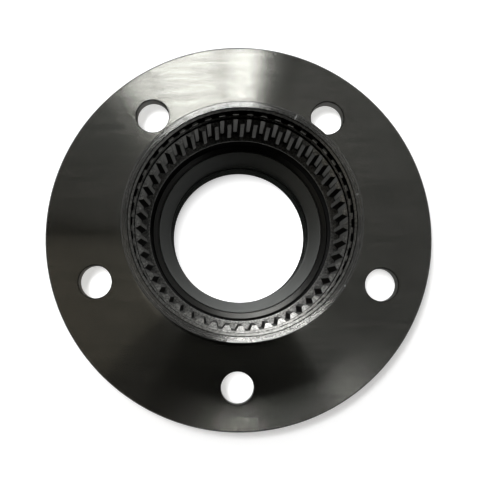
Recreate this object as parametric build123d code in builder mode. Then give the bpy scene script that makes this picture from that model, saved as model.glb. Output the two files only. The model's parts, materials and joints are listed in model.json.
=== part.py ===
from build123d import *
import os
from math import asin, cos, degrees, pi, radians, sin, tan

os.makedirs("parts", exist_ok=True)

# Wheel hub with a double-row tapered roller bearing and a toothed sensor ring.
# The hub axis is Z, +Z points inboard, and Z = 0 is the flange's outboard face.
# All sizes are in millimetres.

# ---- Flange and wheel fixing ----
flange_diameter = 206.0
flange_thickness = 9.0
flange_edge_chamfer = 0.8
bolt_circle_diameter = 160.0
bolt_count = 5
bolt_hole_diameter = 17.5
bolt_hole_chamfer = 0.5
first_bolt_angle = -90.0
pilot_height = 7.0
pilot_chamfer = 1.0

# ---- Barrel ----
barrel_length = 75.0
barrel_wall = 3.2
barrel_edge_chamfer = 0.4
barrel_root_fillet = 5.0
barrel_neck_length = 9.0
hub_wall = 5.2

# ---- Bearing: two rows of tapered rollers ----
spindle_diameter = 70.0
inner_ring_wall = 3.4
outer_ring_wall = 3.2
roller_count = 30
roller_diameter = 6.0
roller_length = 9.4
roller_axis_angle = 13.0
roller_clearance = 0.06
raceway_relief = 0.4
small_rib_width = 2.0
small_rib_height = 0.9
large_rib_width = 1.6
large_rib_height = 2.0
seal_land_step = 2.0
seal_land_width = 4.7
outer_ring_setback = 2.0
ring_edge_chamfer = 0.5
lead_in_depth = 11.5
lead_in_end_wall = 0.8
lead_in_step = 0.9
bore_chamfer = 1.0

# ---- Clip and O-ring that join the two inner rings ----
clip_width = 4.0
clip_thickness = 0.7
clip_hook_height = 0.9
clip_clearance = 0.1
clip_recess = 0.2
o_ring_section = 1.2
o_ring_offset = 1.3
o_ring_clearance = 0.1

# ---- Cages ----
cage_thickness = 1.9
cage_offset = 0.3
cage_overhang = 1.0
cage_lip = 1.9
cage_lip_thickness = 0.8
pocket_clearance = 0.15

# ---- Cassette seals ----
seal_sheet = 0.8
seal_case_gap = 0.4
seal_case_setback = 0.2
seal_web_reach = 3.4
seal_lip_clearance = 0.3
slinger_sheet = 0.6
slinger_flange = 2.45
slinger_setback = 0.2

# ---- Retaining ring ----
retainer_thickness = 2.5
retainer_depth = 1.8
retainer_clearance = 0.1
retainer_band = 3.0
retainer_lug_radius = 2.6
retainer_lug_hole = 2.0
retainer_gap_angle = 22.0

# ---- Sensor ring ----
tooth_count = 48
tooth_height = 2.15
tooth_draft = 0.7
tooth_length = 23.5
tooth_land_length = 4.3
tooth_tip_width = 1.85
tooth_root_width = 4.3
slot_taper = 0.7
tone_ring_length = 41.4
tone_ring_setback = 0.3
tone_ring_wall = 1.85
tone_collar_wall = 1.05
tone_collar_length = 8.7
tab_depth = 3.7
tab_height = 0.8
tab_width = 2.7
tone_floor_thickness = 0.9
tone_lip_reach = 5.8
tone_lip_width = 1.1
tone_lip_height = 0.5
tone_seat_width = 4.5
shoulder_height = 4.5

# ---- Places worked out from the sizes above ----
row_tilt = radians(roller_axis_angle)
roller_radius = roller_diameter / 2
spindle_radius = spindle_diameter / 2
half_roller = roller_length / 2

# The raceway's small end stands one inner ring wall above the spindle, which sets the pitch radius.
roller_pitch_radius = (
    spindle_radius
    + inner_ring_wall
    + (half_roller + raceway_relief) * sin(row_tilt)
    + (roller_radius + roller_clearance) * cos(row_tilt)
)
roller_taper = asin(roller_radius * sin(row_tilt) / roller_pitch_radius)
roller_small_radius = roller_radius - half_roller * tan(roller_taper)
roller_large_radius = roller_radius + half_roller * tan(roller_taper)
row_offset = (
    small_rib_width
    + raceway_relief
    + half_roller * cos(row_tilt)
    - roller_small_radius * sin(row_tilt)
)


def row_point(along, across):
    """Radius and height over the bearing's middle, from a roller's centre:
    along its axis towards the large end, and across it away from the hub axis."""
    radius = roller_pitch_radius + along * sin(row_tilt) + across * cos(row_tilt)
    height = row_offset + along * cos(row_tilt) - across * sin(row_tilt)
    return radius, height


def race_radius(along):
    """Roller radius at a place along its axis, carried on past its ends."""
    return roller_radius + along * tan(roller_taper)


relief_start = -half_roller - raceway_relief
rib_start = half_roller + roller_clearance
inner_race_small = row_point(relief_start, -race_radius(relief_start) - roller_clearance)
inner_race_large = row_point(rib_start, -race_radius(rib_start) - roller_clearance)
rib_top = row_point(rib_start, large_rib_height - race_radius(rib_start))
outer_race_small = row_point(relief_start, race_radius(relief_start) + roller_clearance)
outer_race_end = half_roller + raceway_relief
outer_race_large = row_point(outer_race_end, race_radius(outer_race_end) + roller_clearance)

rib_end = inner_race_large[1] + large_rib_width
seal_land_radius = rib_top[0] - seal_land_step
inner_ring_width = rib_end + seal_land_width
outer_ring_width = inner_ring_width - outer_ring_setback
seal_seat_radius = outer_race_large[0] + roller_clearance
bearing_radius = seal_seat_radius + outer_ring_wall
bearing_middle = inner_ring_width

clip_recess_radius = spindle_radius + clip_recess + clip_thickness + clip_clearance
clip_hook_radius = clip_recess_radius + clip_hook_height
o_ring_radius = clip_recess_radius + o_ring_offset + o_ring_section / 2

shoulder_bottom = bearing_middle + outer_ring_width
shoulder_radius = bearing_radius - shoulder_height
barrel_end = flange_thickness + barrel_length
tone_ring_radius = shoulder_radius + tone_seat_width
tone_ring_top = barrel_end - tone_ring_setback
tone_ring_bottom = tone_ring_top - tone_ring_length
barrel_radius = tone_ring_radius + barrel_wall
base_radius = bearing_radius + hub_wall
neck_bottom = shoulder_bottom + hub_wall / 2
neck_top = neck_bottom + barrel_neck_length
flange_radius = flange_diameter / 2
retainer_face = bearing_middle - outer_ring_width
retainer_groove_width = retainer_thickness + retainer_clearance
retainer_groove_radius = bearing_radius + retainer_depth
pilot_end = -pilot_height


def on_side(side, points):
    """Section points of one row: side is 1 for the inboard row and -1 for the outboard one."""
    return [(radius, bearing_middle + side * height) for radius, height in points]


def edges_at(part, radius, height):
    """The circular edges of a turned part that lie at a radius and a height."""
    return part.edges().filter_by(
        lambda edge: edge.geom_type == GeomType.CIRCLE
        and abs(edge.radius - radius) < 0.01
        and abs(edge.arc_center.X) < 0.01
        and abs(edge.arc_center.Y) < 0.01
        and abs(edge.arc_center.Z - height) < 0.01
    )


# ---- Hub body: flange, pilot, bearing seat and barrel, turned from one forging ----
with BuildPart() as hub_body:
    with BuildSketch(Plane.XZ):
        with BuildLine():
            Polyline(
                (bearing_radius, pilot_end),
                (base_radius, pilot_end),
                (base_radius, 0),
                (flange_radius, 0),
                (flange_radius, flange_thickness),
                (base_radius, flange_thickness),
                (base_radius, neck_bottom),
                (barrel_radius, neck_top),
                (barrel_radius, barrel_end),
                (tone_ring_radius, barrel_end),
                (tone_ring_radius, tone_ring_bottom),
                (shoulder_radius, tone_ring_bottom),
                (shoulder_radius, shoulder_bottom),
                (bearing_radius, shoulder_bottom),
                (bearing_radius, retainer_face),
                (retainer_groove_radius, retainer_face),
                (retainer_groove_radius, retainer_face - retainer_groove_width),
                (bearing_radius, retainer_face - retainer_groove_width),
                close=True,
            )
        make_face()
    revolve(axis=Axis.Z)
    with Locations((0, 0, flange_thickness)):
        with PolarLocations(bolt_circle_diameter / 2, bolt_count, start_angle=first_bolt_angle):
            Hole(bolt_hole_diameter / 2, depth=flange_thickness)
    chamfer(
        hub_body.edges().filter_by(
            lambda edge: edge.geom_type == GeomType.CIRCLE
            and abs(edge.radius - bolt_hole_diameter / 2) < 0.01
        ),
        bolt_hole_chamfer,
    )
    fillet(edges_at(hub_body, base_radius, flange_thickness), barrel_root_fillet)
    chamfer(edges_at(hub_body, flange_radius, flange_thickness), flange_edge_chamfer)
    chamfer(edges_at(hub_body, flange_radius, 0), flange_edge_chamfer)
    chamfer(edges_at(hub_body, base_radius, pilot_end), pilot_chamfer)
    chamfer(edges_at(hub_body, barrel_radius, barrel_end), barrel_edge_chamfer)
    chamfer(edges_at(hub_body, tone_ring_radius, barrel_end), barrel_edge_chamfer)
hub_body.part.label = "hub_body"
export_step(hub_body.part, "parts/hub_body.step")


# ---- Sensor ring: teeth are left standing between tapered slots, over a relief groove ----
floor_top = tone_ring_bottom + tone_floor_thickness
collar_bottom = tone_ring_top - tone_collar_length
tooth_top = collar_bottom - tooth_land_length
tooth_bottom = tooth_top - tooth_length
tooth_root_radius = tone_ring_radius - tone_ring_wall
tooth_tip_radius = tooth_root_radius - tooth_height
tooth_foot_radius = tooth_tip_radius - tooth_draft
collar_radius = tone_ring_radius - tone_collar_wall
tab_top = tone_ring_top - tab_depth
tab_bottom = tab_top - tab_height
lip_radius = tone_ring_radius - tone_lip_reach
lip_outer_radius = lip_radius + tone_lip_width
slot_inner_radius = lip_radius - tone_lip_width
relief_bottom = tooth_bottom - (tooth_root_radius - tooth_foot_radius) / 2
tooth_pitch_angle = 360 / tooth_count


def slot_half_width(radius):
    """Half the gap between two teeth at a radius; teeth widen from tip to root."""
    slope = (tooth_root_width - tooth_tip_width) / (2 * tooth_height)
    half_tooth = tooth_tip_width / 2 + slope * (radius - tooth_tip_radius)
    return pi * radius / tooth_count - half_tooth


with BuildPart() as tone_ring:
    with BuildSketch(Plane.XZ):
        with BuildLine():
            Polyline(
                (lip_radius, tone_ring_bottom),
                (tone_ring_radius, tone_ring_bottom),
                (tone_ring_radius, tone_ring_top),
                (collar_radius, tone_ring_top),
                (collar_radius, tab_top),
                (tooth_root_radius, tab_top),
                (tooth_root_radius, tab_bottom),
                (collar_radius, tab_bottom),
                (collar_radius, collar_bottom),
                (tooth_root_radius, collar_bottom),
                (tooth_root_radius, tooth_top),
                (tooth_tip_radius, tooth_top),
                (tooth_foot_radius, tooth_bottom),
                (tooth_root_radius, relief_bottom),
                (tooth_root_radius, floor_top),
                (lip_outer_radius, floor_top),
                (lip_outer_radius, floor_top + tone_lip_height),
                (lip_radius, floor_top + tone_lip_height),
                close=True,
            )
        make_face()
    revolve(axis=Axis.Z)
    with BuildSketch(Plane.XY.offset(tooth_top)):
        with PolarLocations(0, tooth_count, start_angle=tooth_pitch_angle / 2):
            Polygon(
                (slot_inner_radius, -slot_half_width(slot_inner_radius)),
                (tooth_root_radius, -slot_half_width(tooth_root_radius)),
                (tooth_root_radius, slot_half_width(tooth_root_radius)),
                (slot_inner_radius, slot_half_width(slot_inner_radius)),
                align=None,
            )
    extrude(amount=relief_bottom - tooth_top, taper=slot_taper, mode=Mode.SUBTRACT)
    with BuildSketch(Plane.XY.offset(tab_bottom)):
        Circle(collar_radius)
        Circle(lip_radius, mode=Mode.SUBTRACT)
        with PolarLocations(collar_radius, tooth_count, start_angle=tooth_pitch_angle / 2):
            Rectangle(2 * (collar_radius - tooth_root_radius), tab_width, mode=Mode.SUBTRACT)
    extrude(amount=tab_height, mode=Mode.SUBTRACT)
tone_ring.part.label = "tone_ring"
export_step(tone_ring.part, "parts/tone_ring.step")


# ---- Bearing rings, rollers, cages and seals: one set for each row ----
# The inboard bore opens in a wide cone over the spindle's fillet, the outboard one in a plain chamfer.
bore_mouth = {
    "inboard": [
        (seal_land_radius - lead_in_end_wall, inner_ring_width),
        (spindle_radius + lead_in_step, inner_ring_width - lead_in_depth),
        (spindle_radius, inner_ring_width - lead_in_depth),
    ],
    "outboard": [
        (spindle_radius + bore_chamfer, inner_ring_width),
        (spindle_radius, inner_ring_width - bore_chamfer),
    ],
}

for row, side in {"inboard": 1, "outboard": -1}.items():
    # Inner ring: tapered raceway between two ribs, and the land that carries the slinger.
    o_ring_groove = (o_ring_section + 2 * o_ring_clearance) / 2
    with BuildPart() as inner_ring:
        with BuildSketch(Plane.XZ):
            with BuildLine():
                Polyline(
                    on_side(
                        side,
                        [
                            (clip_recess_radius, 0),
                            (o_ring_radius - o_ring_groove, 0),
                            (o_ring_radius - o_ring_groove, o_ring_groove),
                            (o_ring_radius + o_ring_groove, o_ring_groove),
                            (o_ring_radius + o_ring_groove, 0),
                            (inner_race_small[0] + small_rib_height, 0),
                            (inner_race_small[0] + small_rib_height, small_rib_width),
                            (inner_race_small[0], small_rib_width),
                            inner_race_small,
                            inner_race_large,
                            rib_top,
                            (rib_top[0], rib_end),
                            (seal_land_radius, rib_end),
                            (seal_land_radius, inner_ring_width - ring_edge_chamfer),
                            (seal_land_radius - ring_edge_chamfer, inner_ring_width),
                            *bore_mouth[row],
                            (spindle_radius, clip_width / 2 + clip_clearance),
                            (clip_hook_radius, clip_width / 2 + clip_clearance),
                            (clip_hook_radius, clip_width / 2 - clip_thickness - clip_clearance),
                            (clip_recess_radius, clip_width / 2 - clip_thickness - clip_clearance),
                        ],
                    ),
                    close=True,
                )
            make_face()
        revolve(axis=Axis.Z)
    inner_ring.part.label = row + "_inner_ring"
    export_step(inner_ring.part, "parts/" + row + "_inner_ring.step")

    # Outer ring: tapered raceway that opens into the seal's seat.
    with BuildPart() as outer_ring:
        with BuildSketch(Plane.XZ):
            with BuildLine():
                Polyline(
                    on_side(
                        side,
                        [
                            (outer_race_small[0], 0),
                            outer_race_small,
                            outer_race_large,
                            (seal_seat_radius, outer_race_large[1] + raceway_relief),
                            (seal_seat_radius, outer_ring_width - ring_edge_chamfer),
                            (seal_seat_radius + ring_edge_chamfer, outer_ring_width),
                            (bearing_radius - ring_edge_chamfer, outer_ring_width),
                            (bearing_radius, outer_ring_width - ring_edge_chamfer),
                            (bearing_radius, 0),
                        ],
                    ),
                    close=True,
                )
            make_face()
        revolve(axis=Axis.Z)
    outer_ring.part.label = row + "_outer_ring"
    export_step(outer_ring.part, "parts/" + row + "_outer_ring.step")

    # Tapered rollers: each stands on its own tilted axis, with its large end outwards.
    roller_plane = Plane(
        origin=(roller_pitch_radius, 0, bearing_middle + side * row_offset),
        x_dir=(0, 1, 0),
        z_dir=(sin(row_tilt), 0, side * cos(row_tilt)),
    )
    with BuildPart() as rollers:
        with PolarLocations(0, roller_count):
            with Locations(roller_plane):
                Cone(roller_small_radius, roller_large_radius, roller_length)
    rollers.part.label = row + "_rollers"
    export_step(rollers.part, "parts/" + row + "_rollers.step")

    # Cage: a moulded conical band with one pocket for each roller and an inturned small end.
    cage_small = -half_roller - cage_overhang
    cage_large = half_roller + cage_overhang
    lip_edge = row_point(cage_small, cage_offset - cage_lip)
    with BuildPart() as cage:
        with BuildSketch(Plane.XZ):
            with BuildLine():
                Polyline(
                    on_side(
                        side,
                        [
                            lip_edge,
                            row_point(cage_small, cage_offset + cage_thickness),
                            row_point(cage_large, cage_offset + cage_thickness),
                            row_point(cage_large, cage_offset),
                            row_point(cage_small + cage_lip_thickness, cage_offset),
                            row_point(cage_small + cage_lip_thickness, cage_offset - cage_lip),
                        ],
                    ),
                    close=True,
                )
            make_face()
        revolve(axis=Axis.Z)
        with PolarLocations(0, roller_count):
            with Locations(roller_plane):
                Cone(
                    roller_small_radius + pocket_clearance,
                    roller_large_radius + pocket_clearance,
                    roller_length + 2 * pocket_clearance,
                    mode=Mode.SUBTRACT,
                )
    cage.part.label = row + "_cage"
    export_step(cage.part, "parts/" + row + "_cage.step")

    # Seal case: pressed L-section ring in the outer ring's seat.
    web_bottom = rib_end + seal_case_gap
    web_top = web_bottom + seal_sheet
    web_inner_radius = seal_seat_radius - seal_sheet - seal_web_reach
    case_top = outer_ring_width - seal_case_setback
    with BuildPart() as seal_case:
        with BuildSketch(Plane.XZ):
            with BuildLine():
                Polyline(
                    on_side(
                        side,
                        [
                            (web_inner_radius, web_bottom),
                            (seal_seat_radius, web_bottom),
                            (seal_seat_radius, case_top),
                            (seal_seat_radius - seal_sheet, case_top),
                            (seal_seat_radius - seal_sheet, web_top),
                            (web_inner_radius, web_top),
                        ],
                    ),
                    close=True,
                )
            make_face()
        revolve(axis=Axis.Z)
    seal_case.part.label = row + "_seal_case"
    export_step(seal_case.part, "parts/" + row + "_seal_case.step")

    # Slinger: L-section ring pressed on the inner ring's land.
    sleeve_radius = seal_land_radius + slinger_sheet
    slinger_top = inner_ring_width - slinger_setback
    slinger_under = slinger_top - slinger_sheet
    slinger_edge_radius = seal_land_radius + slinger_flange
    with BuildPart() as slinger:
        with BuildSketch(Plane.XZ):
            with BuildLine():
                Polyline(
                    on_side(
                        side,
                        [
                            (seal_land_radius, web_bottom),
                            (sleeve_radius, web_bottom),
                            (sleeve_radius, slinger_under),
                            (slinger_edge_radius, slinger_under),
                            (slinger_edge_radius, slinger_top),
                            (seal_land_radius, slinger_top),
                        ],
                    ),
                    close=True,
                )
            make_face()
        revolve(axis=Axis.Z)
    slinger.part.label = row + "_slinger"
    export_step(slinger.part, "parts/" + row + "_slinger.step")

    # Seal lip: rubber bonded to the case, with one lip at the sleeve and one at the slinger.
    lip_tip_radius = sleeve_radius + seal_lip_clearance
    face_lip_top = slinger_under - seal_lip_clearance
    lip_middle = (web_top + face_lip_top) / 2
    with BuildPart() as seal_lip:
        with BuildSketch(Plane.XZ):
            with BuildLine():
                Polyline(
                    on_side(
                        side,
                        [
                            (seal_seat_radius - seal_sheet, web_top),
                            (seal_seat_radius - seal_sheet, case_top),
                            (slinger_edge_radius + seal_sheet, case_top),
                            (slinger_edge_radius - seal_lip_clearance, face_lip_top),
                            (slinger_edge_radius - 2 * seal_lip_clearance, face_lip_top),
                            (web_inner_radius, lip_middle + seal_sheet / 2),
                            (lip_tip_radius, lip_middle),
                            (lip_tip_radius, web_bottom + seal_sheet / 2),
                            (web_inner_radius - seal_sheet, web_bottom),
                            (web_inner_radius, web_bottom),
                            (web_inner_radius, web_top),
                        ],
                    ),
                    close=True,
                )
            make_face()
        revolve(axis=Axis.Z)
    seal_lip.part.label = row + "_seal_lip"
    export_step(seal_lip.part, "parts/" + row + "_seal_lip.step")


# ---- Clip: spring-steel channel hooked into both inner rings from the bore ----
clip_outer_radius = clip_recess_radius - clip_clearance
hook_outer_radius = clip_hook_radius - clip_clearance
half_clip = clip_width / 2
with BuildPart() as inner_ring_clip:
    with BuildSketch(Plane.XZ):
        with BuildLine():
            Polyline(
                (clip_outer_radius - clip_thickness, bearing_middle - half_clip),
                (hook_outer_radius, bearing_middle - half_clip),
                (hook_outer_radius, bearing_middle - half_clip + clip_thickness),
                (clip_outer_radius, bearing_middle - half_clip + clip_thickness),
                (clip_outer_radius, bearing_middle + half_clip - clip_thickness),
                (hook_outer_radius, bearing_middle + half_clip - clip_thickness),
                (hook_outer_radius, bearing_middle + half_clip),
                (clip_outer_radius - clip_thickness, bearing_middle + half_clip),
                close=True,
            )
        make_face()
    revolve(axis=Axis.Z)
inner_ring_clip.part.label = "inner_ring_clip"
export_step(inner_ring_clip.part, "parts/inner_ring_clip.step")

# ---- O-ring: held in a groove shared by the two inner rings' faces ----
with BuildPart() as inner_ring_o_ring:
    with Locations((0, 0, bearing_middle)):
        Torus(o_ring_radius, o_ring_section / 2)
inner_ring_o_ring.part.label = "inner_ring_o_ring"
export_step(inner_ring_o_ring.part, "parts/inner_ring_o_ring.step")

# ---- Retaining ring: open spring ring with two plier lugs, in the hub's groove ----
retainer_radius = retainer_groove_radius - retainer_clearance
lug_centre_radius = retainer_radius - retainer_band - retainer_lug_radius / 2
lug_angle = retainer_gap_angle / 2 + degrees(retainer_lug_radius / lug_centre_radius)
gap_half_width = retainer_radius * tan(radians(retainer_gap_angle / 2))
with BuildPart() as retaining_ring:
    with BuildSketch(Plane.XY.offset(retainer_face - retainer_thickness)):
        Circle(retainer_radius)
        Circle(retainer_radius - retainer_band, mode=Mode.SUBTRACT)
        with PolarLocations(lug_centre_radius, 2, -lug_angle, 2 * lug_angle, endpoint=True):
            Circle(retainer_lug_radius)
            Circle(retainer_lug_hole / 2, mode=Mode.SUBTRACT)
        Polygon(
            (0, 0),
            (retainer_radius, -gap_half_width),
            (retainer_radius * 2, -gap_half_width * 2),
            (retainer_radius * 2, gap_half_width * 2),
            (retainer_radius, gap_half_width),
            align=None,
            mode=Mode.SUBTRACT,
        )
    extrude(amount=retainer_thickness)
retaining_ring.part.label = "retaining_ring"
export_step(retaining_ring.part, "parts/retaining_ring.step")
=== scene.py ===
import json
import math

import bpy
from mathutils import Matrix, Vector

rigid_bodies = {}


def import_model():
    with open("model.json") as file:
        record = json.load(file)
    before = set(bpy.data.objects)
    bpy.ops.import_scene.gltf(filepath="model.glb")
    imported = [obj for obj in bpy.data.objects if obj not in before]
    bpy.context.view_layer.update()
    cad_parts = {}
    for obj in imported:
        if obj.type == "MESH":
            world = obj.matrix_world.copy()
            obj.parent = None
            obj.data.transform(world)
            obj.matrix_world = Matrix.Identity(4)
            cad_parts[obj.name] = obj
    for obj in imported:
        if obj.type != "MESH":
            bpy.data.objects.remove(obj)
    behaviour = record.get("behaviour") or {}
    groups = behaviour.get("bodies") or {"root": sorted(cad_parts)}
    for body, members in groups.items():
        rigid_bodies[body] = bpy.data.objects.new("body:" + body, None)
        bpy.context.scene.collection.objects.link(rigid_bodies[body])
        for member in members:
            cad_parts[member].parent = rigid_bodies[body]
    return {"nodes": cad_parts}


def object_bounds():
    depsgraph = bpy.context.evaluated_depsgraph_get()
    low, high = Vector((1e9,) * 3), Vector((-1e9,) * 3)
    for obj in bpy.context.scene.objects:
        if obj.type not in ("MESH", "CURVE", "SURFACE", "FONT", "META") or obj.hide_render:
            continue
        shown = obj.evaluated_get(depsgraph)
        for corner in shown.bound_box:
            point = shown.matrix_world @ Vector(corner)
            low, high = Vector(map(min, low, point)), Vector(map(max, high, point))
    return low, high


for item in list(bpy.data.objects):
    bpy.data.objects.remove(item)

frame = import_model()
cad_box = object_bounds()
scene = bpy.context.scene


# ---- Hub body ----
# One medium-carbon steel forging: the flange that bolts to the wheel, the bearing's seat and the barrel.
# It is finished on a lathe, so every face carries fine marks round the hub's axis. The five bolt holes
# are drilled afterwards.
barrel_end = cad_box[1][2]
bolt_circle = 0.080   # radius to the middles of the bolt holes
hole_band = 0.012   # every hole lies within this of the bolt circle, and no other upright face does


def linear(hex_colour):
    """sRGB hex to linear RGBA: below 0.04045 divide by 12.92, else ((c + 0.055) / 1.055) ** 2.4."""
    channels = [int(hex_colour[place:place + 2], 16) / 255 for place in (1, 3, 5)]
    return tuple(c / 12.92 if c <= 0.04045 else ((c + 0.055) / 1.055) ** 2.4 for c in channels) + (1,)


def add_node(material, kind, settings=None, links=None):
    """Adds a node. settings holds its properties and input values, links its inputs' source sockets."""
    node = material.node_tree.nodes.new(kind)
    for name, value in (settings or {}).items():
        if isinstance(name, int) or name in node.inputs:
            node.inputs[name].default_value = value
        else:
            setattr(node, name, value)
    for name, source in (links or {}).items():
        material.node_tree.links.new(source, node.inputs[name])
    return node


def turned_metal(name, dark, light, roughness, anisotropy, mark_pitch, mark_slope, blotch_size, wear,
                 edge=(1, 1, 1, 1), zones=None):
    """A metal turned or ground about Z. Its marks are noise along (radius, height), the same all the way
    round, which leans the surface by up to mark_slope. Its colour drifts from dark to light in blotches
    of about blotch_size that are drawn out round the axis. Its roughness varies by wear, and edge tints
    its reflection at a slant. zones may change the finish before it reaches the shader."""
    material = bpy.data.materials.new(name)
    material.use_nodes = True
    tree = material.node_tree
    tree.nodes.clear()
    place = add_node(material, "ShaderNodeTexCoord")
    parts = add_node(material, "ShaderNodeSeparateXYZ", None, {"Vector": place.outputs["Object"]})
    flat = add_node(material, "ShaderNodeCombineXYZ", None,
                    {"X": parts.outputs["X"], "Y": parts.outputs["Y"]})
    radius = add_node(material, "ShaderNodeVectorMath", {"operation": "LENGTH"}, {0: flat.outputs["Vector"]})
    around = add_node(material, "ShaderNodeVectorMath", {"operation": "NORMALIZE"},
                      {0: flat.outputs["Vector"]})
    section = add_node(material, "ShaderNodeCombineXYZ", None,
                       {"X": radius.outputs["Value"], "Y": parts.outputs["Z"]})
    # Fine marks one pitch apart lie in coarse bands twenty pitches wide.
    fine = add_node(material, "ShaderNodeTexNoise",
                    {"Scale": 1 / mark_pitch, "Detail": 1.0, "Roughness": 0.5},
                    {"Vector": section.outputs["Vector"]})
    coarse = add_node(material, "ShaderNodeTexNoise",
                      {"Scale": 0.05 / mark_pitch, "Detail": 3.0, "Roughness": 0.6},
                      {"Vector": section.outputs["Vector"]})
    # Round the axis the noise runs as on a circle of 35 mm radius, so blotches farther out are drawn out.
    turn = add_node(material, "ShaderNodeVectorMath", {"operation": "SCALE", "Scale": 0.035},
                    {0: around.outputs["Vector"]})
    drawn = add_node(material, "ShaderNodeVectorMath", {"operation": "ADD"},
                     {0: turn.outputs["Vector"], 1: section.outputs["Vector"]})
    blotch = add_node(material, "ShaderNodeTexNoise",
                      {"Scale": 1 / blotch_size, "Detail": 4.0, "Roughness": 0.55, "Distortion": 0.4},
                      {"Vector": drawn.outputs["Vector"]})
    colour = add_node(material, "ShaderNodeMix",
                      {"data_type": "RGBA", 6: linear(dark), 7: linear(light)},
                      {0: blotch.outputs["Fac"]})
    rough = add_node(material, "ShaderNodeMapRange",
                     {"From Min": 0.25, "From Max": 0.75,
                      "To Min": roughness - wear, "To Max": roughness + wear},
                     {"Value": coarse.outputs["Fac"]})
    deep = add_node(material, "ShaderNodeMapRange", {"To Min": -mark_slope, "To Max": mark_slope},
                    {"Value": fine.outputs["Fac"]})
    broad = add_node(material, "ShaderNodeMapRange",
                     {"To Min": -0.004 * mark_slope, "To Max": 0.004 * mark_slope},
                     {"Value": coarse.outputs["Fac"]})
    slope = add_node(material, "ShaderNodeMath", {"operation": "ADD"},
                     {0: deep.outputs["Result"], 1: broad.outputs["Result"]})
    finish = {"Base Color": colour.outputs[2], "Roughness": rough.outputs["Result"],
              "Slope": slope.outputs["Value"]}
    if zones:
        zones(material, place, parts, radius, around, finish)
    # The slope acts across the marks: a positive one leans a face that looks up towards the axis.
    along = add_node(material, "ShaderNodeVectorMath", {"operation": "CROSS_PRODUCT", 0: (0, 0, 1)},
                     {1: around.outputs["Vector"]})
    across = add_node(material, "ShaderNodeVectorMath", {"operation": "CROSS_PRODUCT"},
                      {0: place.outputs["Normal"], 1: along.outputs["Vector"]})
    lean = add_node(material, "ShaderNodeVectorMath", {"operation": "SCALE"},
                    {0: across.outputs["Vector"], "Scale": finish.pop("Slope")})
    leaning = add_node(material, "ShaderNodeVectorMath", {"operation": "ADD"},
                       {0: place.outputs["Normal"], 1: lean.outputs["Vector"]})
    # Pieces turn about Z, so both directions go from the piece's own axes to the room's.
    normal = add_node(material, "ShaderNodeVectorTransform",
                      {"vector_type": "NORMAL", "convert_from": "OBJECT", "convert_to": "WORLD"},
                      {"Vector": leaning.outputs["Vector"]})
    finish["Normal"] = add_node(material, "ShaderNodeVectorMath", {"operation": "NORMALIZE"},
                                {0: normal.outputs["Vector"]}).outputs["Vector"]
    finish["Tangent"] = add_node(material, "ShaderNodeVectorTransform",
                                 {"vector_type": "VECTOR", "convert_from": "OBJECT", "convert_to": "WORLD"},
                                 {"Vector": along.outputs["Vector"]}).outputs["Vector"]
    shader = add_node(material, "ShaderNodeBsdfPrincipled",
                      {"Metallic": 1.0, "Anisotropic": anisotropy, "Anisotropic Rotation": 0.25,
                       "Specular Tint": edge}, finish)
    add_node(material, "ShaderNodeOutputMaterial", None, {"Surface": shader.outputs["BSDF"]})
    return material


def dress(node, material):
    """Gives a node of the frame its material in every slot."""
    for slot in frame["nodes"][node].material_slots:
        slot.material = material


def barrel_end_face(material, normal, parts):
    """Where the hub is its barrel's end face: in the last half millimetre of the barrel, looking up."""
    high = add_node(material, "ShaderNodeMapRange",
                    {"From Min": barrel_end - 0.0006, "From Max": barrel_end - 0.0004},
                    {"Value": parts.outputs["Z"]})
    level = add_node(material, "ShaderNodeMapRange", {"From Min": 0.92, "From Max": 0.98},
                     {"Value": normal.outputs["Z"]})
    end_face = add_node(material, "ShaderNodeMath", {"operation": "MULTIPLY"},
                        {0: high.outputs["Result"], 1: level.outputs["Result"]})
    return end_face.outputs["Value"]


def chamfer_shade_and_pits(material, place, normal, end_face, finish):
    """Chamfers, which lean between about 25 and 75 degrees, are painted dark grey: painted shade along the
    edges. The barrel's end face was faced last with a blunter tool: it is paler, with pits about 0.7 mm wide."""
    upward = add_node(material, "ShaderNodeMapRange", {"From Min": 0.25, "From Max": 0.5},
                      {"Value": normal.outputs["Z"]})
    leaning = add_node(material, "ShaderNodeMapRange", {"From Min": 0.92, "From Max": 0.8},
                       {"Value": normal.outputs["Z"]})
    chamfer = add_node(material, "ShaderNodeMath", {"operation": "MULTIPLY"},
                       {0: upward.outputs["Result"], 1: leaning.outputs["Result"]})
    # Painted shade: the chamfers are painted dark grey.
    chamfer_shade = add_node(material, "ShaderNodeMix", {"data_type": "RGBA", 7: linear("#3C3C3A")},
                    {0: chamfer.outputs["Value"], 6: finish["Base Color"]})
    fresh = add_node(material, "ShaderNodeMix", {"data_type": "RGBA", 7: linear("#E2E2DE")},
                     {0: end_face, 6: chamfer_shade.outputs[2]})
    pits = add_node(material, "ShaderNodeTexNoise", {"Scale": 1400.0, "Detail": 2.0},
                    {"Vector": place.outputs["Object"]})
    deep = add_node(material, "ShaderNodeMapRange", {"From Min": 0.5, "From Max": 0.66, "To Max": 0.6},
                    {"Value": pits.outputs["Fac"]})
    pitted = add_node(material, "ShaderNodeMath", {"operation": "MULTIPLY"},
                      {0: deep.outputs["Result"], 1: end_face})
    finish["Base Color"] = add_node(material, "ShaderNodeMix", {"data_type": "RGBA", 7: linear("#84847E")},
                                    {0: pitted.outputs["Value"], 6: fresh.outputs[2]}).outputs[2]


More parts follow.
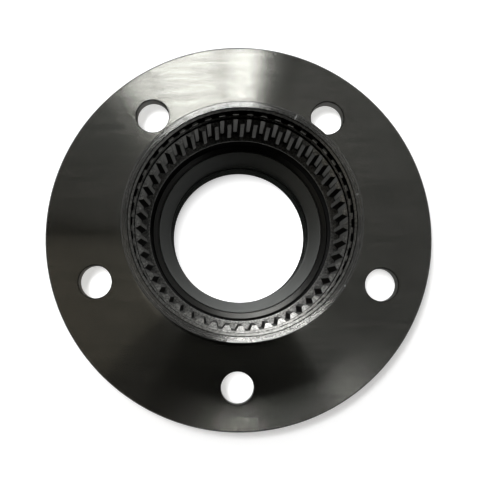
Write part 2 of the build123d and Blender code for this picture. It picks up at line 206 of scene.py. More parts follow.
def hole_wall_shade(material, normal, radius, finish):
    """The walls of the bolt holes get painted shade, dark grey with a dulled reflection at a slant: faces
    near the bolt circle that look neither up nor down."""
    up_or_down = add_node(material, "ShaderNodeMath", {"operation": "ABSOLUTE"}, {0: normal.outputs["Z"]})
    upright = add_node(material, "ShaderNodeMapRange", {"From Min": 0.4, "From Max": 0.2},
                       {"Value": up_or_down.outputs["Value"]})
    past_barrel = add_node(material, "ShaderNodeMath",
                           {"operation": "GREATER_THAN", 1: bolt_circle - hole_band},
                           {0: radius.outputs["Value"]})
    short_of_edge = add_node(material, "ShaderNodeMath",
                             {"operation": "LESS_THAN", 1: bolt_circle + hole_band},
                             {0: radius.outputs["Value"]})
    among_holes = add_node(material, "ShaderNodeMath", {"operation": "MULTIPLY"},
                           {0: past_barrel.outputs["Value"], 1: short_of_edge.outputs["Value"]})
    hole_shade = add_node(material, "ShaderNodeMath", {"operation": "MULTIPLY"},
                       {0: upright.outputs["Result"], 1: among_holes.outputs["Value"]})
    # Painted shade on the bolt holes' walls, which also dulls their reflection at a slant.
    finish["Base Color"] = add_node(material, "ShaderNodeMix", {"data_type": "RGBA", 7: linear("#6C6C6A")},
                                    {0: hole_shade.outputs["Value"], 6: finish["Base Color"]}).outputs[2]
    finish["Specular Tint"] = add_node(
        material, "ShaderNodeMix", {"data_type": "RGBA", 6: (1, 1, 1, 1), 7: (0.2, 0.2, 0.2, 1)},
        {0: hole_shade.outputs["Value"]}).outputs[2]


def oil_and_smears(material, place, finish):
    """Oil has run to one side, from 40 to 100 mm out, and dried brown. Wiping has left faint straight
    smears, about 25 mm long and 2.4 mm wide, across the marks."""
    run = add_node(material, "ShaderNodeVectorMath", {"operation": "DOT_PRODUCT", 1: (-0.85, -0.5, 0)},
                   {0: place.outputs["Object"]})
    film = add_node(material, "ShaderNodeMapRange", {"From Min": 0.04, "From Max": 0.10, "To Max": 0.5},
                    {"Value": run.outputs["Value"]})
    oily = add_node(material, "ShaderNodeMix",
                    {"data_type": "RGBA", "blend_type": "MULTIPLY", 7: (1, 0.91, 0.80, 1)},
                    {0: film.outputs["Result"], 6: finish["Base Color"]})
    wiped = add_node(material, "ShaderNodeMapping",
                     {"Rotation": (0, 0, math.radians(38)), "Scale": (40, 420, 40)},
                     {"Vector": place.outputs["Object"]})
    smear = add_node(material, "ShaderNodeTexNoise", {"Scale": 1.0, "Detail": 3.0, "Roughness": 0.6},
                     {"Vector": wiped.outputs["Vector"]})
    faint = add_node(material, "ShaderNodeMapRange",
                     {"From Min": 0.35, "From Max": 0.65, "To Min": 0.90, "To Max": 1.08},
                     {"Value": smear.outputs["Fac"]})
    finish["Base Color"] = add_node(material, "ShaderNodeVectorMath", {"operation": "SCALE"},
                                    {0: oily.outputs[2], "Scale": faint.outputs["Result"]}).outputs["Vector"]


def grit_and_nick(material, place, parts, end_face, finish):
    """White grit, in a fifth of the cells of a 2.4 mm pattern, lies on the +X side of the end face. One
    knock has left a bright nick, 2.4 mm long, across it. Both are rough and lean away from the axis."""
    grit = add_node(material, "ShaderNodeTexVoronoi", {"Scale": 420.0}, {"Vector": place.outputs["Object"]})
    chosen = add_node(material, "ShaderNodeSeparateXYZ", None, {"Vector": grit.outputs["Color"]})
    few = add_node(material, "ShaderNodeMath", {"operation": "GREATER_THAN", 1: 0.80},
                   {0: chosen.outputs["X"]})
    small = add_node(material, "ShaderNodeMath", {"operation": "LESS_THAN", 1: 0.22},
                     {0: grit.outputs["Distance"]})
    loose = add_node(material, "ShaderNodeMath", {"operation": "MULTIPLY"},
                     {0: few.outputs["Value"], 1: small.outputs["Value"]})
    side = add_node(material, "ShaderNodeMapRange", {"From Min": 0.026, "From Max": 0.030},
                    {"Value": parts.outputs["X"]})
    caught = add_node(material, "ShaderNodeMath", {"operation": "MULTIPLY"},
                      {0: side.outputs["Result"], 1: end_face})
    fleck = add_node(material, "ShaderNodeMath", {"operation": "MULTIPLY"},
                     {0: loose.outputs["Value"], 1: caught.outputs["Value"]})
    # The nick is an ellipse: its middle, its direction and its half sizes.
    knock = add_node(material, "ShaderNodeMapping",
                     {"vector_type": "TEXTURE", "Location": (0.0231, 0.0462, barrel_end),
                      "Rotation": (0, 0, math.radians(60)), "Scale": (0.0012, 0.00034, 0.001)},
                     {"Vector": place.outputs["Object"]})
    reach = add_node(material, "ShaderNodeVectorMath", {"operation": "LENGTH"}, {0: knock.outputs["Vector"]})
    nick = add_node(material, "ShaderNodeMath", {"operation": "LESS_THAN", 1: 1.0},
                    {0: reach.outputs["Value"]})
    speck = add_node(material, "ShaderNodeMath", {"operation": "MAXIMUM"},
                     {0: fleck.outputs["Value"], 1: nick.outputs["Value"]})
    finish["Base Color"] = add_node(material, "ShaderNodeMix", {"data_type": "RGBA", 7: (1, 1, 1, 1)},
                                    {0: speck.outputs["Value"], 6: finish["Base Color"]}).outputs[2]
    finish["Roughness"] = add_node(material, "ShaderNodeMath", {"operation": "MULTIPLY_ADD", 1: 0.35},
                                   {0: speck.outputs["Value"], 2: finish["Roughness"]}).outputs["Value"]
    finish["Slope"] = add_node(material, "ShaderNodeMath", {"operation": "MULTIPLY_ADD", 1: -0.4},
                               {0: speck.outputs["Value"], 2: finish["Slope"]}).outputs["Value"]


def hub_zones(material, place, parts, radius, around, finish):
    """Painted shade on the chamfers, the end face's pits, painted shade on the bolt holes' walls, oil and
    smears, grit and nick, in the order in which they came. The end face is a little rougher than the rest and
    leans a little towards the axis."""
    normal = add_node(material, "ShaderNodeSeparateXYZ", None, {"Vector": place.outputs["Normal"]})
    end_face = barrel_end_face(material, normal, parts)
    chamfer_shade_and_pits(material, place, normal, end_face, finish)
    hole_wall_shade(material, normal, radius, finish)
    oil_and_smears(material, place, finish)
    grit_and_nick(material, place, parts, end_face, finish)
    finish["Roughness"] = add_node(material, "ShaderNodeMath", {"operation": "MULTIPLY_ADD", 1: 0.02},
                                   {0: end_face, 2: finish["Roughness"]}).outputs["Value"]
    finish["Slope"] = add_node(material, "ShaderNodeMath", {"operation": "MULTIPLY_ADD", 1: 0.08},
                               {0: end_face, 2: finish["Slope"]}).outputs["Value"]


# Turned carbon steel: the marks draw each lamp's reflection out into a fan across them, and the face
# stays dark between the fans. A feed of 0.03 mm is finer than the render can show as separate lines.
turned_steel = turned_metal("turned_carbon_steel", dark="#B8B8B1", light="#C6C6C0", roughness=0.25,
                            anisotropy=1.0, mark_pitch=0.00003, mark_slope=0.95, blotch_size=0.012,
                            wear=0.012, zones=hub_zones)
dress("hub_body", turned_steel)


# ---- Outer rings ----
# Two rings of through-hardened bearing steel with conical raceways, one for each row. They are ground,
# then pressed into the hub against its shoulder, end to end.
# Ground race steel: bright and smooth, with a soft sheen. Its grinding marks, under 0.05 mm apart, are
# drawn at 0.3 mm so that they show.
race_steel = turned_metal("ground_race_steel", dark="#B8B8B6", light="#C4C4C2", roughness=0.22,
                          anisotropy=0.5, mark_pitch=0.0003, mark_slope=0.2, blotch_size=0.008, wear=0.02)
for name in ("inboard_outer_ring", "outboard_outer_ring"):
    dress(name, race_steel)


# ---- Rollers ----
# Thirty tapered rollers in each row, of through-hardened bearing steel. They are ground and superfinished
# and run between the inner ring's ribs.
# Superfinished steel: the brightest metal here, almost a mirror and the same in every direction.
roller_steel = turned_metal("superfinished_steel", dark="#C4C4C4", light="#D0D0D0", roughness=0.15,
                            anisotropy=0.0, mark_pitch=0.0003, mark_slope=0.05, blotch_size=0.008, wear=0.02)
for name in ("inboard_rollers", "outboard_rollers"):
    dress(name, roller_steel)


# ---- Cages ----
# One cage for each row keeps its rollers apart. It is moulded in one piece from glass-filled nylon, and
# the rollers snap into its pockets.
def plain(name, dark, light, roughness, grain):
    """A moulded material. One noise of the given grain drifts its colour from dark to light and raises
    the surface by up to 0.02 mm."""
    material = bpy.data.materials.new(name)
    material.use_nodes = True
    material.node_tree.nodes.clear()
    place = add_node(material, "ShaderNodeTexCoord")
    noise = add_node(material, "ShaderNodeTexNoise", {"Scale": 1 / grain, "Detail": 4.0},
                     {"Vector": place.outputs["Object"]})
    colour = add_node(material, "ShaderNodeMix", {"data_type": "RGBA", 6: linear(dark), 7: linear(light)},
                      {0: noise.outputs["Fac"]})
    bump = add_node(material, "ShaderNodeBump", {"Strength": 1.0, "Distance": 0.00002},
                    {"Height": noise.outputs["Fac"]})
    shader = add_node(material, "ShaderNodeBsdfPrincipled", {"Roughness": roughness},
                      {"Base Color": colour.outputs[2], "Normal": bump.outputs["Normal"]})
    add_node(material, "ShaderNodeOutputMaterial", None, {"Surface": shader.outputs["BSDF"]})
    return material


# Glass-filled nylon: black with a dull sheen, faintly mottled where the fibres reach the surface.
nylon = plain("glass_filled_nylon", dark="#141414", light="#242424", roughness=0.5, grain=0.0008)
for name in ("inboard_cage", "outboard_cage"):
    dress(name, nylon)


# ---- Inner rings ----
# Two rings of through-hardened bearing steel that meet in the middle and sit on the spindle, so that the
# hub turns round them. They are ground, then darkened. The inboard bore opens in a wide cone, the
# outboard one in a chamfer.
def ground_zones(material, place, parts, radius, around, finish):
    """The bore is painted darker than the end face, and all that looks down is painted black, which takes in
    the outboard ring's whole end: both are painted shade. Faces that look up lean a little towards the axis,
    and those at a slant, such as the cone, lean far away from it."""
    normal = add_node(material, "ShaderNodeSeparateXYZ", None, {"Vector": place.outputs["Normal"]})
    shade_below = add_node(material, "ShaderNodeMapRange", {"From Min": -0.15, "From Max": -0.3},
                    {"Value": normal.outputs["Z"]})
    bore = add_node(material, "ShaderNodeMapRange", {"From Min": 0.2, "From Max": 0.1},
                    {"Value": normal.outputs["Z"]})
    # Painted shade: the bore is painted darker, and all that looks down black.
    shaded_bore = add_node(material, "ShaderNodeMix", {"data_type": "RGBA", 7: linear("#343634")},
                         {0: bore.outputs["Result"], 6: finish["Base Color"]})
    finish["Base Color"] = add_node(material, "ShaderNodeMix", {"data_type": "RGBA", 7: linear("#101010")},
                                    {0: shade_below.outputs["Result"], 6: shaded_bore.outputs[2]}).outputs[2]
    level = add_node(material, "ShaderNodeMapRange", {"From Min": 0.6, "From Max": 0.9},
                     {"Value": normal.outputs["Z"]})
    rising = add_node(material, "ShaderNodeMapRange", {"From Min": 0.2, "From Max": 0.3},
                      {"Value": normal.outputs["Z"]})
    falling = add_node(material, "ShaderNodeMapRange", {"From Min": 0.9, "From Max": 0.6},
                       {"Value": normal.outputs["Z"]})
    cone = add_node(material, "ShaderNodeMath", {"operation": "MULTIPLY"},
                    {0: rising.outputs["Result"], 1: falling.outputs["Result"]})
    flat_slope = add_node(material, "ShaderNodeMath", {"operation": "MULTIPLY_ADD", 1: 0.24},
                          {0: level.outputs["Result"], 2: finish["Slope"]})
    finish["Slope"] = add_node(material, "ShaderNodeMath", {"operation": "MULTIPLY_ADD", 1: -1.0},
                               {0: cone.outputs["Value"], 2: flat_slope.outputs["Value"]}).outputs["Value"]


# Ground bearing steel, darkened: a dull mid grey that stays dull at a slant, where bare steel would
# flash. Its grinding marks are drawn at 0.3 mm so that they show.
ground_steel = turned_metal("ground_bearing_steel", dark="#868886", light="#929492", roughness=0.58,
                            anisotropy=0.2, mark_pitch=0.0003, mark_slope=0.4, blotch_size=0.008, wear=0.03,
                            edge=(0.03, 0.03, 0.03, 1), zones=ground_zones)
for name in ("inboard_inner_ring", "outboard_inner_ring"):
    dress(name, ground_steel)


# ---- Inner ring clip ----
# A thin ring of spring steel in the bore that hooks into both inner rings, so that they stay together
# until the hub is on its spindle.
# Blackened spring steel: nearly black, with a dull sheen that doesn't brighten at a slant.
spring_steel = turned_metal("blackened_spring_steel", dark="#262626", light="#343434", roughness=0.4,
                            anisotropy=0.2, mark_pitch=0.0003, mark_slope=0.2, blotch_size=0.006, wear=0.03,
                            edge=(0.03, 0.03, 0.03, 1))
dress("inner_ring_clip", spring_steel)


# ---- O-ring ----
# A moulded rubber ring in a groove that the two inner rings share. It keeps water out of their joint.
# Nitrile rubber: the blackest piece, matt, with a fine grain.
rubber = plain("nitrile_rubber", dark="#0C0C0C", light="#181818", roughness=0.6, grain=0.0006)
dress("inner_ring_o_ring", rubber)


# ---- Seals ----
# A cassette seal closes each end of the bearing: a case of pressed stainless sheet in the outer ring's
# seat, a nitrile rubber lip moulded onto it, and a slinger of the same sheet on the inner ring.
def seal_zones(material, place, parts, radius, around, finish):
    """The slinger's web is dished towards the axis, so its upper face leans inwards."""
    normal = add_node(material, "ShaderNodeSeparateXYZ", None, {"Vector": place.outputs["Normal"]})
    level = add_node(material, "ShaderNodeMapRange", {"From Min": 0.6, "From Max": 0.9},
                     {"Value": normal.outputs["Z"]})
    finish["Slope"] = add_node(material, "ShaderNodeMath", {"operation": "MULTIPLY_ADD", 1: 0.30},
                               {0: level.outputs["Result"], 2: finish["Slope"]}).outputs["Value"]


# Pressed stainless sheet: dark grey, smooth enough to catch a thin bright ring of light.
seal_steel = turned_metal("pressed_stainless_sheet", dark="#4A4A48", light="#585856", roughness=0.30,
                          anisotropy=0.6, mark_pitch=0.0003, mark_slope=0.4, blotch_size=0.006, wear=0.03,
                          zones=seal_zones)
for name in ("inboard_seal_case", "outboard_seal_case", "inboard_slinger", "outboard_slinger"):
    dress(name, seal_steel)
for name in ("inboard_seal_lip", "outboard_seal_lip"):
    dress(name, rubber)


# ---- Retaining ring ----
# A circlip of the same blackened spring steel as the clip. It springs into the hub's groove on the
# outboard side and holds the bearing in.
dress("retaining_ring", spring_steel)


# ---- Sensor ring ----
# A pressed steel ring with 48 teeth on its inside, which a speed sensor counts as the wheel turns. It is
# pushed into the barrel's mouth, and a small tab stands over each slot.
def painted_hollow_shade(material, normal, upright, parts, radius):
    """Where the ring gets black painted shade: the wall of its collar, the groove under the teeth, and the
    upright wall of the shoulder between 70.8 and 76.8 mm up."""
    outer = add_node(material, "ShaderNodeMapRange", {"From Min": 0.04835, "From Max": 0.0485},
                     {"Value": radius.outputs["Value"]})
    collar = add_node(material, "ShaderNodeMath", {"operation": "MULTIPLY"},
                      {0: upright.outputs["Result"], 1: outer.outputs["Result"]})
    low = add_node(material, "ShaderNodeMapRange", {"From Min": 0.0475, "From Max": 0.0468},
                   {"Value": parts.outputs["Z"]})
    behind = add_node(material, "ShaderNodeMapRange", {"From Min": 0.0454, "From Max": 0.0457},
                      {"Value": radius.outputs["Value"]})
    inner = add_node(material, "ShaderNodeMath", {"operation": "MULTIPLY"},
                     {0: low.outputs["Result"], 1: behind.outputs["Result"]})
    steep = add_node(material, "ShaderNodeMapRange", {"From Min": 0.9, "From Max": 0.7},
                     {"Value": normal.outputs["Z"]})
    groove = add_node(material, "ShaderNodeMath", {"operation": "MULTIPLY"},
                      {0: inner.outputs["Value"], 1: steep.outputs["Result"]})
    above = add_node(material, "ShaderNodeMapRange", {"From Min": 0.0708, "From Max": 0.0716},
                     {"Value": parts.outputs["Z"]})
    below = add_node(material, "ShaderNodeMapRange", {"From Min": 0.0768, "From Max": 0.0760},
                     {"Value": parts.outputs["Z"]})
    band = add_node(material, "ShaderNodeMath", {"operation": "MULTIPLY"},
                    {0: above.outputs["Result"], 1: below.outputs["Result"]})
    shoulder = add_node(material, "ShaderNodeMath", {"operation": "MULTIPLY"},
                        {0: band.outputs["Value"], 1: upright.outputs["Result"]})
    hollow = add_node(material, "ShaderNodeMath", {"operation": "MAXIMUM"},
                      {0: collar.outputs["Value"], 1: groove.outputs["Value"]})
    hollow_shade_mask = add_node(material, "ShaderNodeMath", {"operation": "MAXIMUM"},
                     {0: hollow.outputs["Value"], 1: shoulder.outputs["Value"]})
    return hollow_shade_mask.outputs["Value"]


def paint_tooth_light_and_shade(material, place, normal, upright, parts, radius, around, bare):
    """Upright faces get painted shade: the backs of the slots least, with a lighter band of painted light on
    their upper part, and the teeth's flanks, which face along the ring, most. The tabs are painted a lighter
    grey: a painted highlight."""
    sideways = add_node(material, "ShaderNodeVectorMath", {"operation": "CROSS_PRODUCT", 0: (0, 0, 1)},
                        {1: around.outputs["Vector"]})
    facing = add_node(material, "ShaderNodeVectorMath", {"operation": "DOT_PRODUCT"},
                      {0: place.outputs["Normal"], 1: sideways.outputs["Vector"]})
    either = add_node(material, "ShaderNodeMath", {"operation": "ABSOLUTE"}, {0: facing.outputs["Value"]})
    flank = add_node(material, "ShaderNodeMapRange", {"From Min": 0.3, "From Max": 0.5},
                     {"Value": either.outputs["Value"]})
    # Painted shade on upright faces, lightened by a band of painted light on the upper slot backs, darkest on
    # the flanks.
    shaded_wall = add_node(material, "ShaderNodeMix", {"data_type": "RGBA", 7: linear("#686866")},
                    {0: upright.outputs["Result"], 6: bare})
    valley = add_node(material, "ShaderNodeMapRange", {"From Min": 0.0472, "From Max": 0.0476},
                      {"Value": radius.outputs["Value"]})
    upper = add_node(material, "ShaderNodeMapRange", {"From Min": 0.052, "From Max": 0.066},
                     {"Value": parts.outputs["Z"]})
    lit_band = add_node(material, "ShaderNodeMath", {"operation": "MULTIPLY"},
                      {0: valley.outputs["Result"], 1: upper.outputs["Result"]})
    lit_slot_back = add_node(material, "ShaderNodeMix", {"data_type": "RGBA", 7: linear("#787876")},
                           {0: lit_band.outputs["Value"], 6: shaded_wall.outputs[2]})
    back = add_node(material, "ShaderNodeMix", {"data_type": "RGBA"},
                    {0: upright.outputs["Result"], 6: shaded_wall.outputs[2], 7: lit_slot_back.outputs[2]})
    side = add_node(material, "ShaderNodeMix", {"data_type": "RGBA", 7: linear("#5A5A58")},
                    {0: flank.outputs["Result"], 6: back.outputs[2]})
    tab = add_node(material, "ShaderNodeMapRange", {"From Min": 0.0770, "From Max": 0.0780},
                   {"Value": parts.outputs["Z"]})
    # A painted highlight: the tabs are painted lighter.
    tooth_light_and_shade = add_node(material, "ShaderNodeMix", {"data_type": "RGBA", 7: linear("#A0A09C")},
                    {0: tab.outputs["Result"], 6: side.outputs[2]})
    return tooth_light_and_shade.outputs[2]


def sensor_zones(material, place, parts, radius, around, finish):
    """Painted light and shade on the teeth, then black painted shade in the hollows. Faces that look up are
    dimpled by the press, are smoother than the rest and are rounded over towards the axis, least at the
    ring's foot. Faces that look down count as upright."""
    normal = add_node(material, "ShaderNodeSeparateXYZ", None, {"Vector": place.outputs["Normal"]})
    upright = add_node(material, "ShaderNodeMapRange", {"From Min": 0.6, "From Max": 0.3},
                       {"Value": normal.outputs["Z"]})
    level = add_node(material, "ShaderNodeMapRange", {"From Min": 0.6, "From Max": 0.9},
                     {"Value": normal.outputs["Z"]})
    hollow_shade_mask = painted_hollow_shade(material, normal, upright, parts, radius)
    tooth_light_and_shade = paint_tooth_light_and_shade(material, place, normal, upright, parts, radius, around, finish["Base Color"])
    # Dimples 0.9 mm wide.
    grain = add_node(material, "ShaderNodeTexNoise", {"Scale": 1100.0, "Detail": 2.0},
                     {"Vector": place.outputs["Object"]})
    pressed = add_node(material, "ShaderNodeMapRange",
                       {"From Min": 0.36, "From Max": 0.64, "To Min": 0.55, "To Max": 1.2},
                       {"Value": grain.outputs["Fac"]})
    dimpled = add_node(material, "ShaderNodeVectorMath", {"operation": "SCALE"},
                       {0: tooth_light_and_shade, "Scale": pressed.outputs["Result"]})
    dull = add_node(material, "ShaderNodeMix", {"data_type": "RGBA"},
                    {0: level.outputs["Result"], 6: tooth_light_and_shade, 7: dimpled.outputs["Vector"]})
    # Black painted shade over the hollows.
    finish["Base Color"] = add_node(material, "ShaderNodeMix", {"data_type": "RGBA", 7: linear("#0C0C0C")},
                                    {0: hollow_shade_mask, 6: dull.outputs[2]}).outputs[2]
    # The painted shade doesn't brighten at a slant, and other upright faces brighten less than bare metal
    # does.
    slant = add_node(material, "ShaderNodeMix",
                     {"data_type": "RGBA", 6: (1, 1, 1, 1), 7: (0.35, 0.35, 0.35, 1)},
                     {0: upright.outputs["Result"]})
    finish["Specular Tint"] = add_node(
        material, "ShaderNodeMix", {"data_type": "RGBA", 7: (0.03, 0.03, 0.03, 1)},
        {0: hollow_shade_mask, 6: slant.outputs[2]}).outputs[2]
    lip = add_node(material, "ShaderNodeMapRange",
                   {"From Min": 0.0440, "From Max": 0.0450, "To Min": 0.06, "To Max": 0.36},
                   {"Value": parts.outputs["Z"]})
    finish["Slope"] = add_node(
        material, "ShaderNodeMath", {"operation": "MULTIPLY_ADD"},
        {0: level.outputs["Result"], 1: lip.outputs["Result"], 2: finish["Slope"]}).outputs["Value"]
    finish["Roughness"] = add_node(material, "ShaderNodeMath", {"operation": "MULTIPLY_ADD", 1: -0.11},
                                   {0: level.outputs["Result"], 2: finish["Roughness"]}).outputs["Value"]


# Pressed steel: grey and half matt where it is bare, with black painted shade in its hollows. Its drawing
# marks are drawn at 0.4 mm so that they show.
sensor_steel = turned_metal("pressed_steel", dark="#B4B4B0", light="#CACAC6", roughness=0.46,
                            anisotropy=0.8, mark_pitch=0.0004, mark_slope=0.6, blotch_size=0.006, wear=0.03,
                            zones=sensor_zones)
dress("tone_ring", sensor_steel)


# ---- Paper ----
# The hub stands on a wide sheet of white paper, on its outboard pilot. The paper is no part of the hub,
# so it is staged.
first_hole = 54   # degrees from X round to the middle of a bolt hole
half_pitch = 36   # half the angle from one hole to the next


def paper_material():
    """White paper. It shows white to the camera and in reflections, and darker towards the hub, where the hub
    shades it, apart from patches of painted light under the bore and the bolt holes."""
    material = bpy.data.materials.new("white_paper")
    material.use_nodes = True
    material.node_tree.nodes.clear()
    place = add_node(material, "ShaderNodeTexCoord")
    far = add_node(material, "ShaderNodeVectorMath", {"operation": "LENGTH"}, {0: place.outputs["Object"]})
    fade = add_node(material, "ShaderNodeMapRange",
                    {"From Min": 0.16, "From Max": 0.35, "To Min": 0.45, "To Max": 1.0},
                    {"Value": far.outputs["Value"]})
    # Under the bore the paper glows bright, a painted pool of light, apart from a painted shadow: a crescent
    # at the side the lamps stand on.
    moved = add_node(material, "ShaderNodeVectorMath", {"operation": "SUBTRACT", 1: (0.0035, -0.0035, 0)},
                     {0: place.outputs["Object"]})
    near = add_node(material, "ShaderNodeVectorMath", {"operation": "LENGTH"}, {0: moved.outputs["Vector"]})
    bore = add_node(material, "ShaderNodeMapRange",
                    {"From Min": 0.0362, "From Max": 0.0412, "To Min": 1.0, "To Max": 0.48},
                    {"Value": near.outputs["Value"]})
    # The same painted light and shadow under each of the five holes: the angle is folded into one fifth of a
    # turn.
    offset = add_node(material, "ShaderNodeVectorMath", {"operation": "SUBTRACT", 1: (0.0023, -0.0005, 0)},
                      {0: place.outputs["Object"]})
    along = add_node(material, "ShaderNodeSeparateXYZ", None, {"Vector": offset.outputs["Vector"]})
    out = add_node(material, "ShaderNodeVectorMath", {"operation": "LENGTH"}, {0: offset.outputs["Vector"]})
    angle = add_node(material, "ShaderNodeMath", {"operation": "ARCTAN2"},
                     {0: along.outputs["Y"], 1: along.outputs["X"]})
    fifth = add_node(material, "ShaderNodeMath",
                     {"operation": "WRAP", 1: math.radians(first_hole - half_pitch),
                      2: math.radians(first_hole + half_pitch)},
                     {0: angle.outputs["Value"]})
    aside = add_node(material, "ShaderNodeMath", {"operation": "SUBTRACT", 1: math.radians(first_hole)},
                     {0: fifth.outputs["Value"]})
    arc = add_node(material, "ShaderNodeMath", {"operation": "MULTIPLY"},
                   {0: aside.outputs["Value"], 1: out.outputs["Value"]})
    reach_out = add_node(material, "ShaderNodeMath", {"operation": "SUBTRACT", 1: bolt_circle - 0.0002},
                         {0: out.outputs["Value"]})
    spot = add_node(material, "ShaderNodeCombineXYZ", None,
                    {"X": reach_out.outputs["Value"], "Y": arc.outputs["Value"]})
    centre = add_node(material, "ShaderNodeVectorMath", {"operation": "LENGTH"}, {0: spot.outputs["Vector"]})
    hole_light = add_node(material, "ShaderNodeMapRange",
                     {"From Min": 0.0050, "From Max": 0.0100, "To Min": 1.0, "To Max": 0.40},
                     {"Value": centre.outputs["Value"]})
    painted_light_under = add_node(material, "ShaderNodeMath", {"operation": "MAXIMUM"},
                     {0: bore.outputs["Result"], 1: hole_light.outputs["Result"]})
    # All of these painted patches end under the flange.
    hidden = add_node(material, "ShaderNodeMapRange",
                      {"From Min": 0.093, "From Max": 0.097, "To Min": 1.0, "To Max": 0.0},
                      {"Value": far.outputs["Value"]})
    light_patch = add_node(material, "ShaderNodeMath", {"operation": "MULTIPLY"},
                     {0: painted_light_under.outputs["Value"], 1: hidden.outputs["Result"]})
    level = add_node(material, "ShaderNodeMath", {"operation": "MAXIMUM"},
                     {0: fade.outputs["Result"], 1: light_patch.outputs["Value"]})
    path = add_node(material, "ShaderNodeLightPath")
    seen = add_node(material, "ShaderNodeMath", {"operation": "MAXIMUM"},
                    {0: path.outputs["Is Camera Ray"], 1: path.outputs["Is Glossy Ray"]})
    glow = add_node(material, "ShaderNodeMath", {"operation": "MULTIPLY"},
                    {0: level.outputs["Value"], 1: seen.outputs["Value"]})
    paper = add_node(material, "ShaderNodeBsdfDiffuse", {"Color": (0.8, 0.8, 0.8, 1)})
    light = add_node(material, "ShaderNodeEmission", {"Color": (1, 1, 1, 1)},
                     {"Strength": glow.outputs["Value"]})
    both = add_node(material, "ShaderNodeAddShader", None,
                    {0: paper.outputs["BSDF"], 1: light.outputs["Emission"]})
    add_node(material, "ShaderNodeOutputMaterial", None, {"Surface": both.outputs["Shader"]})
    return material


floor_mesh = bpy.data.meshes.new("floor")
reach = 12.0
floor_height = cad_box[0][2]
floor_mesh.from_pydata([(-reach, -reach, floor_height), (reach, -reach, floor_height),
                        (reach, reach, floor_height), (-reach, reach, floor_height)], [], [(0, 1, 2, 3)])
floor = bpy.data.objects.new("floor", floor_mesh)
scene.collection.objects.link(floor)
floor_mesh.materials.append(paper_material())


# ---- Room ----
# A plain room, pale near the floor and almost dark overhead, lighter towards the windows on the +Y side.
# The camera sees white in its place.
world = bpy.data.worlds.new("room")
scene.world = world
world.use_nodes = True
world.node_tree.nodes.clear()
direction = add_node(world, "ShaderNodeTexCoord")
parts = add_node(world, "ShaderNodeSeparateXYZ", None, {"Vector": direction.outputs["Generated"]})
height = add_node(world, "ShaderNodeMapRange",
                  {"From Min": 0.0, "From Max": 0.4, "To Min": 1.0, "To Max": 0.008,
                   "interpolation_type": "SMOOTHSTEP"},
                  {"Value": parts.outputs["Z"]})
across = add_node(world, "ShaderNodeMapRange",
                  {"From Min": -1.0, "From Max": 1.0, "To Min": 0.05, "To Max": 0.9},
                  {"Value": parts.outputs["Y"]})
level = add_node(world, "ShaderNodeMath", {"operation": "MULTIPLY"},
                 {0: height.outputs["Result"], 1: across.outputs["Result"]})
path = add_node(world, "ShaderNodeLightPath")
room = add_node(world, "ShaderNodeBackground", {"Color": (1, 0.99, 0.9, 1)},
                {"Strength": level.outputs["Value"]})
white = add_node(world, "ShaderNodeBackground", {"Color": (1, 1, 1, 1), "Strength": 1.0})
sky = add_node(world, "ShaderNodeMixShader", None,
               {0: path.outputs["Is Camera Ray"],
                1: room.outputs["Background"], 2: white.outputs["Background"]})
add_node(world, "ShaderNodeOutputWorld", None, {"Surface": sky.outputs["Shader"]})


# ---- Lamps ----
# Upright rectangular lamps stand round the hub and face its axis: one tall window in panes, and weaker
# ones for the walls. The turning marks mirror each one as a fan on the flange.
lamp_distance = 0.8
lower_pane = (0.65, 1.3)   # heights of a pane's bottom and top
upper_pane = (1.3, 2.1)
plain_light = (1, 1, 1)
warm_light = (1.0, 0.95, 0.85)

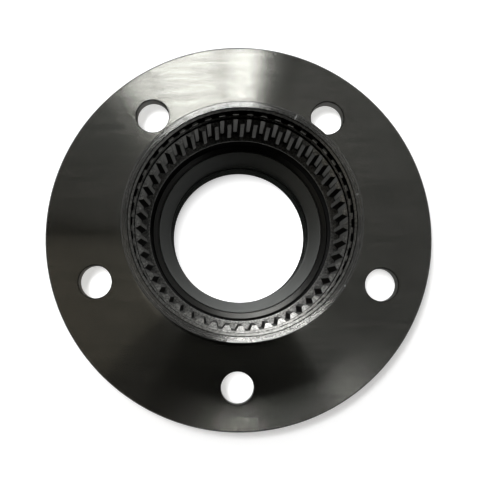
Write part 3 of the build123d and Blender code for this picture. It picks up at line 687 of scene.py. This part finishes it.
# Each row: name, the azimuths of its two sides in degrees, pane, radiance, colour.
for name, low_side, high_side, (bottom, top), radiance, colour in (
        ("window", 95.5, 113, lower_pane, 7.1, plain_light),
        ("window_middle", 92, 95.5, lower_pane, 2.0, plain_light),
        ("window_bright", 88.4, 91, lower_pane, 0.8, plain_light),
        ("window_edge", 82.0, 88.4, lower_pane, 3.4, plain_light),
        ("window_upper", 84.0, 91.8, upper_pane, 12.4, plain_light),
        ("window_top", 95.5, 113, upper_pane, 1.7, plain_light),
        ("window_side", 113, 118, lower_pane, 2.0, plain_light),
        ("window_side_top", 113, 119, upper_pane, 8.0, plain_light),
        ("far_corner", 306, 330, lower_pane, 0.5, plain_light),
        ("left_corner", 222, 238, lower_pane, 0.10, plain_light),
        ("left_wall", 174, 222, lower_pane, 0.40, warm_light),
        ("right_wall", -30, 30, lower_pane, 0.32, plain_light),
        ("right_corner", 30, 72, lower_pane, 0.37, plain_light),
        ("room_corner", 126, 168, lower_pane, 0.24, plain_light)):
    middle = math.radians((low_side + high_side) / 2)
    half = math.radians((high_side - low_side) / 2)
    lamp = bpy.data.lights.new(name, "AREA")
    lamp.shape = "RECTANGLE"
    lamp.size = 2 * lamp_distance * math.tan(half)
    lamp.size_y = top - bottom
    # A lamp of even radiance gives off pi times its area times its radiance.
    lamp.energy = math.pi * lamp.size * lamp.size_y * radiance
    lamp.color = colour
    holder = bpy.data.objects.new(name, lamp)
    scene.collection.objects.link(holder)
    holder.location = (lamp_distance * math.cos(middle), lamp_distance * math.sin(middle), (bottom + top) / 2)
    holder.rotation_euler = (math.radians(90), 0, middle + math.radians(90))

# A soft lamp overhead, turned to face the hub, lights what the panes don't reach. It leaves no reflection.
overhead_aside = 0.34
overhead_height = 1.32
overhead = bpy.data.lights.new("overhead", "AREA")
overhead.shape = "SQUARE"
overhead.size = 0.35
overhead.energy = 16
overhead_lamp = bpy.data.objects.new("overhead", overhead)
scene.collection.objects.link(overhead_lamp)
overhead_lamp.location = (-overhead_aside, overhead_aside, overhead_height)
overhead_lamp.rotation_euler = (math.atan2(math.hypot(overhead_aside, overhead_aside), overhead_height),
                                0, math.radians(45))
overhead_lamp.visible_glossy = False


# ---- Camera ----
# It looks almost straight down into the barrel's mouth, from 0.42 m up. Focal length and shift are in
# pixels of a render 480 wide, and the film is 36 mm wide.
render_width = 480
film_width = 36.0
focal_length = 772.66
shift_right = 12.78
shift_up = 15.48
camera_data = bpy.data.cameras.new("camera")
camera_data.sensor_width = film_width
camera_data.lens = focal_length / render_width * film_width
camera_data.shift_x = shift_right / render_width
camera_data.shift_y = shift_up / render_width
camera_data.clip_start = 0.01
camera = bpy.data.objects.new("camera", camera_data)
scene.collection.objects.link(camera)
camera.location = (-0.00832, -0.03815, 0.41864)
camera.rotation_euler = (math.radians(3.926), math.radians(-0.35), math.radians(0.581))
scene.camera = camera

scene.view_settings.view_transform = "Standard"
